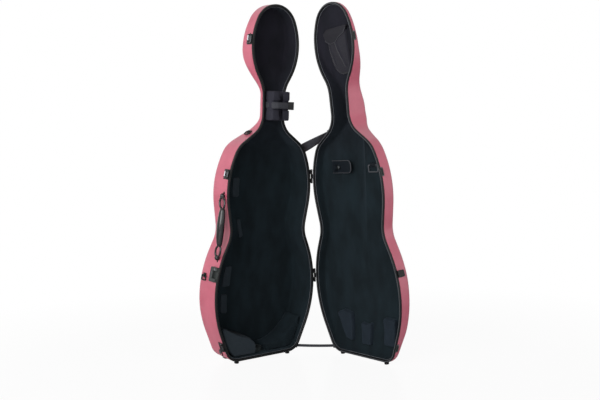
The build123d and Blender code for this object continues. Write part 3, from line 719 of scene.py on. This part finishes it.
wide, tall, corner = edges["sealWidth"], edges["sealHeight"], edges["sealCorner"]
flat = halfMatrix("lid", flat=True)
seal = bandPiece("lidSealBead", loop, True, wide, tall, corner, "seal", flat)
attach(seal, "lid")
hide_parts("lid_seal")
print("edge bands made")


# A voxel skin over the piece, relaxed
def relaxed(piece, name, voxel, relax):
    remesh = piece.modifiers.new("remesh", "REMESH")
    remesh.mode = "VOXEL"
    remesh.voxel_size = voxel * mm
    smooth = piece.modifiers.new("relax", "SMOOTH")
    smooth.factor = 0.5
    smooth.iterations = relax
    return finished(piece, name)


# The same over a copy of a node's solid, with its loose triangles merged first
def softCopy(name, node, voxel, relax):
    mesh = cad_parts[node].data.copy()
    soup = bmesh.new()
    soup.from_mesh(mesh)
    bmesh.ops.remove_doubles(soup, verts=soup.verts, dist=1e-5)
    soup.to_mesh(mesh)
    soup.free()
    mesh.materials.clear()
    return relaxed(newPiece(name + "Start", mesh), name, voxel, relax)


puff = {"pressure": 4, "mass": 0.3, "quality": 4, "frames": 20}


# Shrinks a soft piece, swells it with cloth pressure and keeps each point within the limit
def blowUp(piece, limit, shrink):
    vertices = piece.data.vertices
    for vertex, normal in zip(vertices, [v.normal.copy() for v in vertices]):
        vertex.co -= normal * shrink * mm
    start = [v.co.copy() for v in vertices]
    cloth = piece.modifiers.new("cloth", "CLOTH")
    cloth.settings.quality = puff["quality"]
    cloth.settings.mass = puff["mass"]
    cloth.settings.use_pressure = True
    cloth.settings.uniform_pressure_force = puff["pressure"]
    cloth.settings.effector_weights.gravity = 0
    cloth.point_cache.frame_start = 1
    cloth.point_cache.frame_end = puff["frames"]
    for frameNumber in range(1, puff["frames"] + 1):
        scene.frame_set(frameNumber)
    evaluated = piece.evaluated_get(bpy.context.evaluated_depsgraph_get())
    swollen = [v.co.copy() for v in evaluated.data.vertices]
    piece.modifiers.remove(cloth)
    scene.frame_set(1)
    for vertex, before, after in zip(vertices, start, swollen):
        move = after - before
        if move.length > limit * mm:
            move = move.normalized() * limit * mm
        vertex.co = before + move


linings = {"voxel": 5, "relax": 3}
for half in ("base", "lid"):
    name = half + "VelvetLining"
    lining = softCopy(name, half + "_lining", linings["voxel"], linings["relax"])
    lining.data.materials.append(materials["velvet"])
    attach(lining, half)
    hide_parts(half + "_lining")
print("linings made")

# Pads round the base's body. Those on the open side are paler; those on the far side take the
# darker velvet as painted shade for the dim light there. cornerBlock fills the open side's corner
bodyPads = {
    "voxel": 3,
    "relax": 4,
    "shrink": 0.6,
    "limit": 1,
    "paleSide": -0.04,
    "cornerTop": 0.16,
}
pad = softCopy("bodyPads", "base_pads", bodyPads["voxel"], bodyPads["relax"])
paleSide, cornerTop = bodyPads["paleSide"], bodyPads["cornerTop"]
soup = bmesh.new()
soup.from_mesh(pad.data)
corner = [v for v in soup.verts if v.co.x < paleSide and v.co.z < cornerTop]
bmesh.ops.delete(soup, geom=corner, context="VERTS")
soup.to_mesh(pad.data)
soup.free()
blowUp(pad, bodyPads["limit"], bodyPads["shrink"])
pad.data.materials.append(materials["paleCloth"])
pad.data.materials.append(materials["velvet"])
# Faces past paleSide take the velvet: painted shade on the dimly lit far side
for polygon in pad.data.polygons:
    polygon.material_index = 0 if polygon.center.x < paleSide else 1
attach(pad, "base")
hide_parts("base_pads")
print("bodyPads", len(pad.data.polygons), "faces")


# Neck cradle: cushions that stand proud of the rim, with lips over the neck's rest
cradle = {
    "blocks": {
        "lower": {"low": 932, "high": 976, "front": -46, "wide": 43},
        "bridge": {"low": 969, "high": 1013, "front": -41, "wide": 41},
        "upper": {"low": 1006, "high": 1046, "front": -46, "wide": 43},
    },
    "inside": 36,
    "floor": 28,
    "sill": 2,
    "shelf": -7,
    "lip": 5,
    "lipDrop": (3, 7),
    "rest": 21,
    "restDepth": -22,
    "restSteps": 8,
    "voxel": 3.5,
    "relax": 8,
    "shrink": 2,
    "limit": 4,
    "pressed": 0.8,
}


def cradleSection(front, wide):
    inside, lip, rest, depth = (cradle[key] for key in ("inside", "lip", "rest", "restDepth"))
    over, drop = cradle["lipDrop"]
    side = [
        (inside, cradle["floor"]),
        (inside, cradle["sill"]),
        (wide, cradle["shelf"]),
        (wide, front),
        (lip, front),
        (lip + over, front + drop),
    ]
    for step in range(cradle["restSteps"]):
        angle = pi * (0.3 - 0.8 * step / cradle["restSteps"])
        side.append((rest * cos(angle), depth - rest * sin(angle)))
    return side + [(0, depth + rest)] + [(-x, y) for x, y in reversed(side)]


baseMatrix = halfMatrix("base")
for key, block in cradle["blocks"].items():
    section = cradleSection(block["front"], block["wide"])
    soup = bmesh.new()
    rings = []
    for height in (block["low"], block["high"]):
        points = [baseMatrix @ Vector((x, y, height)) for x, y in section]
        rings.append([soup.verts.new(point) for point in points])
    joinRings(soup, rings)
    for ring in rings:
        soup.faces.new(ring)
    bmesh.ops.triangulate(soup, faces=soup.faces)
    start = soupPiece(key + "CushionStart", soup)
    cushion = relaxed(start, key + "NeckCushion", cradle["voxel"], cradle["relax"])
    blowUp(cushion, cradle["limit"], cradle["shrink"])
    cushion.data.materials.append(materials["cushionCloth"])
    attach(cushion, "base")
    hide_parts("neck_pads")
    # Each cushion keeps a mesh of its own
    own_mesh(cushion)
    print(key, "cushion", len(cushion.data.polygons), "faces")


reliefForm = {"rings": 26, "crowding": 1.5, "sunk": 1.5}


# A low sewn shape on a half's back panel: rings from its outline to its middle, rounded at the
# edge. Its look gives corners, radii, lift, thick and edge. Folds are (start, end, height, width)
def reliefPiece(name, half, look, finish, folds=()):
    lift, thick, edge = look["lift"], look["thick"], look["edge"]
    outline = roundedOutline(look["corners"], look["radii"])
    centre = sum(outline, Vector((0, 0))) / len(outline)
    matrix = halfMatrix(half)
    soup = bmesh.new()

    def raised(point, height):
        for start, end, high, wide in folds:
            along = end - start
            share = max(0.0, min(1.0, (point - start).dot(along) / along.length_squared))
            gap = (point - start - along * share).length
            height += high * exp(-((gap / wide) ** 2))
        depth = liningDepth(half, point.y) - lift - height
        return soup.verts.new(matrix @ Vector((point.x, depth, point.y)))

    foot = [Vector((p.x, liningDepth(half, p.y) + reliefForm["sunk"], p.y)) for p in outline]
    rings = [[soup.verts.new(matrix @ point) for point in foot]]
    for index in range(reliefForm["rings"]):
        share = 1 - (index / reliefForm["rings"]) ** reliefForm["crowding"]
        ring = []
        for point in outline:
            spot = centre + (point - centre) * share
            inside = min((point - spot).length / edge, 1)
            ring.append(raised(spot, thick * sqrt(1 - (1 - inside) ** 2)))
        rings.append(ring)
    middle = raised(centre, thick)
    joinRings(soup, rings)
    for first, second in zip(rings[-1], rings[-1][1:] + rings[-1][:1]):
        soup.faces.new((first, second, middle))
    soup.faces.new(rings[0])
    return soupPiece(name, soup, finish)


# Foam pads stuck in the lid's bottom, shaped as cut pieces
lidPads = {
    "Leaf": {
        "corners": [(-152, 158), (-112, 172), (-66, 163), (-58, 52), (-96, 62), (-122, 98)],
        "radii": [8] * 6,
    },
    "Block": {
        "corners": [(-14, 133), (22, 128), (44, 138), (44, 50), (-4, 50)],
        "radii": [6] * 5,
    },
    "Side": {"corners": [(112, 166), (176, 166), (176, 62), (118, 62)], "radii": [9] * 4},
}
lidPadForm = {"lift": 0, "thick": 16, "edge": 4}
for key, look in lidPads.items():
    piece = reliefPiece("lidPad" + key, "lid", look | lidPadForm, "padCloth")
    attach(piece, "lid")
    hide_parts("lid_pads")

# Foam block in the base's lower corner, under the lower body
cornerBlock = {
    "corners": [
        (-196, 142), (-155, 119), (-112, 99), (-60, 82), (-33, 56),
        (-30, 15), (-134, 15), (-158, 38), (-180, 82),
    ],
    "radii": [8, 60, 60, 20, 14, 8, 14, 20, 30],
    "lift": 90,
    "thick": 12,
    "edge": 8,
}
block = reliefPiece("cornerBlock", "base", cornerBlock, "paleCloth")
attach(block, "base")
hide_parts("base_pads")

# Flat pads along the open side of the base's back panel
backPads = {
    "Top": {"corners": [(-110, 706), (-78, 706), (-77, 629), (-109, 629)], "radii": [9] * 4},
    "Waist": {"corners": [(-82, 545), (-66, 540), (-47, 470), (-64, 464)], "radii": [6] * 4},
    "Hip": {"corners": [(-122, 352), (-92, 356), (-98, 272), (-136, 270)], "radii": [8] * 4},
    "Low": {"corners": [(-138, 244), (-108, 240), (-106, 163), (-137, 166)], "radii": [8] * 4},
}
backPadForm = {"lift": 0, "thick": 4, "edge": 3}
for key, look in backPads.items():
    piece = reliefPiece("backPad" + key, "base", look | backPadForm, "paleCloth")
    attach(piece, "base")


# A thin piping along part of an outline on a half's back panel
def edgePiping(name, half, points, lift, width, finish):
    spots = [(p.x, p.y, lift - liningDepth(half, p.y)) for p in points]
    flat = halfMatrix(half, flat=True)
    trim = bandPiece(name, spots, False, width, width, width / 2 - 0.05, finish, flat)
    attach(trim, half)
    return trim


# Accessory pouch in the lid's head, gathered by two folds, with a tongue for a flap
pouch = {
    "corners": [
        (-41, 1262), (66, 1278), (62, 1180), (46, 1104), (-16, 1100), (-36, 1120), (-43, 1150),
    ],
    "radii": [12, 12, 30, 10, 18, 12, 14],
    "lift": 0,
    "thick": 9,
    "edge": 7,
    "folds": [
        {"from": (2, 1222), "to": (26, 1132), "high": 3.2, "wide": 4.5},
        {"from": (-34, 1212), "to": (-26, 1140), "high": 2.2, "wide": 4.0},
    ],
}
flap = {
    "corners": [
        (-58, 1256), (-38, 1272), (78, 1277), (58, 1251),
        (28, 1239), (6, 1222), (-24, 1216), (-48, 1228),
    ],
    "radii": [12, 12, 4, 12, 14, 14, 16, 14],
    "lift": 10,
    "thick": 3,
    "edge": 3,
    "boundBelow": 1266,
    "freeCorner": (-20, 1236),
    "piping": 2.6,
    "pipingLift": 12.2,
}
folds = []
for fold in pouch["folds"]:
    folds.append((Vector(fold["from"]), Vector(fold["to"]), fold["high"], fold["wide"]))
piece = reliefPiece("pouchBody", "lid", pouch, "pouchCloth", folds)
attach(piece, "lid")
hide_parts("accessory_pouch")
piece = reliefPiece("pouchFlap", "lid", flap, "flapCloth")
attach(piece, "lid")
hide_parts("pouch_flap")
freeX, freeY = flap["freeCorner"]
outline = roundedOutline(flap["corners"], flap["radii"])
bound = [p for p in outline if p.y < flap["boundBelow"] and not (p.x < freeX and p.y > freeY)]
first = max(range(len(bound)), key=lambda i: bound[i].x)
bound = bound[first:] + bound[:first]  # one run, from the flap's far tip
trim = edgePiping("flapPiping", "lid", bound, flap["pipingLift"], flap["piping"], "trimCloth")

# Bow holder's plate: a stiff tab, straight at one end and piped round the other
bowPlate = {
    "corners": [(-120, 769), (-13, 769), (-13, 721), (-120, 721)],
    "radii": [3, 17, 17, 3],
    "lift": 0,
    "thick": 4,
    "edge": 2,
    "piping": 3,
    "pipingLift": 2.6,
}
plate = reliefPiece("bowHolderTab", "lid", bowPlate, "vinyl")
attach(plate, "lid")
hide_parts("bow_holder_plate")
tip = roundedPath(bowPlate["corners"], bowPlate["radii"][1:3], 3)
lift, width = bowPlate["pipingLift"], bowPlate["piping"]
trim = edgePiping("bowHolderPiping", "lid", tip, lift, width, "trimCloth")
button = {"place": (-78, 39, 743.5), "radius": 8.5, "flat": 0.55}
lidMatrix = halfMatrix("lid")
spots = [(lidMatrix @ Vector(button["place"]), aimed(lidMatrix, (0, -1, 0)))]
knob = dotsPiece("bowHolderButton", spots, button["radius"], button["flat"], "buttonMetal")
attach(knob, "bow_knob")
print("relief pieces made")


# Side handle: a crowned grip hung on two links. x runs along its pivot line, y back, z outward
handle = {
    "origin": (-217.231, 28, 529.345),
    "along": (0.065921, 0, 0.997825),
    "outward": (-0.997825, 0, 0.065921),
    "lugs": {"reach": 117, "sunk": -4, "radius": 10.5, "flat": 0.95},
    "rivets": {
        "places": [(130, -2), (-132, 2), (119, 12), (-119, 12)],
        "sunk": -9,
        "radius": 4.6,
        "flat": 0.6,
    },
}
grip = {
    "drop": 13,
    "half": 74,
    "waist": 16.5,
    "tip": 8,
    "fullness": 0.6,
    "rounding": 0.06,
    "flatness": 0.86,
    "bow": 1.5,
    "stations": 28,
    "around": 24,
}
gripLink = {"reach": 91, "drop": 8, "long": 22, "wide": 16, "bar": 8, "tilt": 0.3, "steps": 40}
axes = Matrix((Vector(handle["along"]), Vector((0, 1, 0)), Vector(handle["outward"])))
axes = axes.transposed().to_4x4()
axes.translation = Vector(handle["origin"])
handleMatrix = halfMatrix("base") @ axes
outward = aimed(handleMatrix, (0, 0, 1))
soup = bmesh.new()
rings = []
for index in range(grip["stations"] + 1):
    share = 2 * index / grip["stations"] - 1
    past = max(0.0, (abs(share) - 1 + grip["rounding"]) / grip["rounding"])
    crown = (grip["waist"] - grip["tip"]) * cos(share * pi / 2) ** grip["fullness"]
    radius = (grip["tip"] + crown) * max(sqrt(max(0.0, 1 - past**2)), 0.05)
    ring = []
    for step in range(grip["around"]):
        angle = 2 * pi * step / grip["around"]
        y = -grip["drop"] + radius * cos(angle)
        z = grip["flatness"] * radius * sin(angle) + grip["bow"] * (1 - share * share)
        ring.append(soup.verts.new(handleMatrix @ Vector((share * grip["half"], y, z))))
    rings.append(ring)
joinRings(soup, rings)
soup.faces.new(rings[0])
soup.faces.new(list(reversed(rings[-1])))
handlePieces = [soupPiece("crownedGrip", soup, "handle")]
for name, side in (("upperGripLink", 1), ("lowerGripLink", -1)):
    tilt = gripLink["tilt"] * side
    loop = []
    for step in range(gripLink["steps"]):
        angle = 2 * pi * step / gripLink["steps"]
        run, wide = gripLink["long"] * cos(angle), gripLink["wide"] * sin(angle)
        x = side * gripLink["reach"] + run * cos(tilt) - wide * sin(tilt)
        loop.append((x, -gripLink["drop"] + run * sin(tilt) + wide * cos(tilt), 0))
    bar = gripLink["bar"]
    piece = bandPiece(name, loop, True, bar, bar, bar / 2 - 0.05, "handle", handleMatrix)
    handlePieces.append(piece)
for piece in handlePieces:
    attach(piece, "handle")
    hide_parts("handle_grip")
look = handle["lugs"]
places = [(side * look["reach"], 0, look["sunk"]) for side in (1, -1)]
spots = [(handleMatrix @ Vector(spot), outward) for spot in places]
lugs = dotsPiece("gripLugs", spots, look["radius"], look["flat"], "handle")
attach(lugs, "base")
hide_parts("handle_mounts")
look = handle["rivets"]
spots = [(handleMatrix @ Vector((x, y, look["sunk"])), outward) for x, y in look["places"]]
feet = dotsPiece("gripRivets", spots, look["radius"], look["flat"], "darkMetal")
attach(feet, "base")
print("handle made")


tapeRows = 5


# A flat woven tape with rounded edges, through stations of (point, across, out) in the frame
def tapePiece(name, stations, width, thick, finish):
    width, thick = width * mm, thick * mm
    soup = bmesh.new()
    layer = soup.loops.layers.uv.new("UVMap")
    rings = []
    runs = [0.0]
    for index, (point, across, out) in enumerate(stations):
        if index:
            runs.append(runs[-1] + (point - stations[index - 1][0]).length)
        ring = []
        for side in (1, -1):
            for step in range(tapeRows):
                share = (step / (tapeRows - 1) - 0.5) * side
                edge = 1 - (2 * share) ** 6 * 0.7
                spot = point + across * share * width + out * side * thick / 2 * edge
                ring.append(soup.verts.new(spot))
        rings.append(ring)
    joinRings(soup, rings)
    for index, face in enumerate(soup.faces):
        station, step = divmod(index, 2 * tapeRows)
        places = ((0, step), (0, step + 1), (1, step + 1), (1, step))
        for loop, (ahead, column) in zip(face.loops, places):
            loop[layer].uv = (column / (tapeRows - 1) * width, runs[station + ahead])
    soup.faces.new(rings[0])
    soup.faces.new(list(reversed(rings[-1])))
    return soupPiece(name, soup, finish)


# Neck strap over the cradle
neckStrap = {
    "half": 38,
    "proud": 44,
    "top": 53,
    "foot": 20,
    "bends": [11, 9, 9, 11],
    "width": 24,
    "thick": 2.2,
    "height": 991,
}
half, foot, proud, top = (neckStrap[key] for key in ("half", "foot", "proud", "top"))
crest = half * 0.6
side = [(half, foot), (half, -proud), (crest, -top)]
arch = roundedPath(side + [(-x, y) for x, y in reversed(side)], neckStrap["bends"], 2)
upward = aimed(baseMatrix, (0, 0, 1))
stations = []
for index, point in enumerate(arch):
    before = arch[max(index - 1, 0)]
    after = arch[min(index + 1, len(arch) - 1)]
    along = (after - before).normalized()
    spot = baseMatrix @ Vector((point.x, point.y, neckStrap["height"]))
    stations.append((spot, upward, aimed(baseMatrix, (along.y, -along.x, 0))))
strap = tapePiece("neckWebbing", stations, neckStrap["width"], neckStrap["thick"], "webbing")
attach(strap, "base")
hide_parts("neck_strap")

# Side-release buckle at the strap's open end
buckle = {
    "place": (39, -52, 991),
    "long": 22,
    "wide": 30,
    "thick": 8,
    "corner": 2.5,
    "lean": -0.45,
    "pressed": 0.5,
}
ends = [Vector((-buckle["long"] / 2, 0, 0)), Vector((buckle["long"] / 2, 0, 0))]
lean = Matrix.Rotation(buckle["lean"], 4, "Z")
buckleMatrix = baseMatrix @ Matrix.Translation(buckle["place"]) @ lean
thick, wide, corner = (buckle[key] for key in ("thick", "wide", "corner"))
shell = bandPiece("neckBuckle", ends, False, thick, wide, corner, "rim", buckleMatrix)
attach(shell, "base")
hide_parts("neck_buckle")
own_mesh(shell)

# The two stays between the halves, each place as (height, depth) on its half's wall
stays = {
    "upper": {"base": (806, 66), "lid": (890, 30), "width": 36},
    "lower": {"base": (16, 20), "lid": (16, 17), "width": 14},
}
stayForm = {"thick": 2, "clamp": 10, "sag": 1.5, "steps": 24}
for name, stay in stays.items():
    ends = []
    for owner, side in (("base", 1), ("lid", -1)):
        height, depth = stay[owner]
        matrix = wallMatrix(owner, height, side)
        ends.append((matrix @ Vector((0, depth, 0)), aimed(matrix, (0, 0, 1))))
    (start, startOut), (end, endOut) = ends
    run = (end - start).normalized()
    startAcross = run.cross(startOut).normalized()
    endAcross = run.cross(endOut).normalized()
    if startAcross.dot(endAcross) < 0:
        endAcross = -endAcross
    clamp = stayForm["clamp"] * mm
    stations = []
    for step in range(stayForm["steps"] + 1):
        share = step / stayForm["steps"]
        along = clamp + share * ((end - start).length - 2 * clamp)
        across = (startAcross * (1 - share) + endAcross * share).normalized()
        sag = 4 * share * (1 - share) * stayForm["sag"] * mm
        spot = start + run * along - Vector((0, 0, sag))
        stations.append((spot, across, run.cross(across).normalized()))
    tape = tapePiece(name + "Stay", stations, stay["width"], stayForm["thick"], "webbing")
    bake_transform(tape)
    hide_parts("stay_straps")
print("webbings made")


# Rivets on the wall fittings, each as (along the wall, back from the rim)
rivets = {
    "radius": 2.2,
    "flat": 0.5,
    "proud": 2.2,
    "latches": (64, 728, 1232),
    "hasp": 350,
    "onPlate": [(-14, 20), (14, 20), (-14, 32), (14, 32)],
    "onCatch": [(-14.6, 9.5), (14.6, 9.5)],
    "onHasp": [(-9, 19.5), (9, 19.5)],
}
fittings = [("base", height, "onPlate") for height in rivets["latches"]]
fittings += [("lid", height, "onCatch") for height in rivets["latches"]]
fittings.append(("lid", rivets["hasp"], "onHasp"))
for body, side in (("base", -1), ("lid", 1)):
    spots = []
    for owner, height, places in fittings:
        if owner == body:
            matrix = wallMatrix(body, height, side)
            for x, y in rivets[places]:
                spot = matrix @ Vector((x, y, rivets["proud"]))
                spots.append((spot, aimed(matrix, (0, 0, 1))))
    heads = dotsPiece(body + "Rivets", spots, rivets["radius"], rivets["flat"], "brightMetal")
    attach(heads, body)
print("rivets made")


# Studio: a white floor and white surroundings, lit by large soft lamps
studio = {
    "floor": "#F6F6F8",
    "floorSize": 14,
    "floorWhite": 0.93,
    "whiteFrom": 1.0,
    "whiteTo": 2.2,
    "skySide": 0.6,
    "skyTop": 0.0,
    "skyTurn": 0.9,
    "aim": (0, 0, 0.7),
    "lamps": [
        {"place": (-3.3, -1.2, 1.6), "size": 2.4, "power": 105},
        {"place": (2.4, -3.2, 0.6), "size": 2.2, "power": 12},
        {"place": (-1.6, -3.2, 1.1), "size": 2.0, "power": 14},
    ],
}
bpy.ops.mesh.primitive_plane_add(size=studio["floorSize"])
floor = bpy.context.object
floor.name = "studioFloor"
# Glossy white acrylic sheet: the camera sees it fade to pure white away from the case
settings = {"Base Color": linear(studio["floor"]), "Roughness": 0.22, "IOR": 1.45}
tree, shader, place = newFinish("floor", "glossyWhiteFloor", settings)
whiteLight = {"Color": (1, 1, 1, 1), "Strength": 1.0}
glow = addNode(tree, "ShaderNodeEmission", whiteLight)
reach = addNode(tree, "ShaderNodeVectorMath", {"operation": "LENGTH"}, {0: place})
near, far = studio["whiteFrom"], studio["whiteTo"]
fade = spread(tree, reach.outputs["Value"], near, far, studio["floorWhite"], 1.0)
seen = addNode(tree, "ShaderNodeLightPath").outputs["Is Camera Ray"]
white = addNode(tree, "ShaderNodeMath", {"operation": "MULTIPLY"}, {0: fade, 1: seen})
links = {0: white, 1: shader, 2: glow}
mixed = addNode(tree, "ShaderNodeMixShader", links=links)
tree.links.new(mixed.outputs[0], tree.nodes["Material Output"].inputs["Surface"])
floor.data.materials.append(materials["floor"])

# The world is white to camera, glossy and transmission rays, and soft sidelight to the rest
world = bpy.data.worlds.new("studioWhite")
scene.world = world
world.use_nodes = True
tree = world.node_tree
tree.nodes.clear()
rays = addNode(tree, "ShaderNodeLightPath").outputs
seen = rays["Is Camera Ray"]
for ray in ("Is Glossy Ray", "Is Transmission Ray"):
    links = {0: seen, 1: rays[ray]}
    seen = addNode(tree, "ShaderNodeMath", {"operation": "MAXIMUM"}, links)
direction = addNode(tree, "ShaderNodeTexCoord").outputs["Generated"]
rise = addNode(tree, "ShaderNodeSeparateXYZ", links={0: direction}).outputs["Z"]
soft = addNode(tree, "ShaderNodeBackground", {"Color": (1, 1, 1, 1)})
dimmed = spread(tree, rise, 0, studio["skyTurn"], studio["skySide"], studio["skyTop"])
tree.links.new(dimmed, soft.inputs["Strength"])
white = addNode(tree, "ShaderNodeBackground", whiteLight)
links = {0: seen, 1: soft, 2: white}
both = addNode(tree, "ShaderNodeMixShader", links=links)
addNode(tree, "ShaderNodeOutputWorld", links={"Surface": both})

for index, lamp in enumerate(studio["lamps"]):
    data = bpy.data.lights.new(f"softLamp{index}", "AREA")
    data.size = lamp["size"]
    data.energy = lamp["power"]
    light = bpy.data.objects.new(data.name, data)
    light.location = lamp["place"]
    aim = Vector(studio["aim"]) - Vector(lamp["place"])
    light.rotation_euler = aim.to_track_quat("-Z", "Y").to_euler()
    scene.collection.objects.link(light)
print("studio lit")
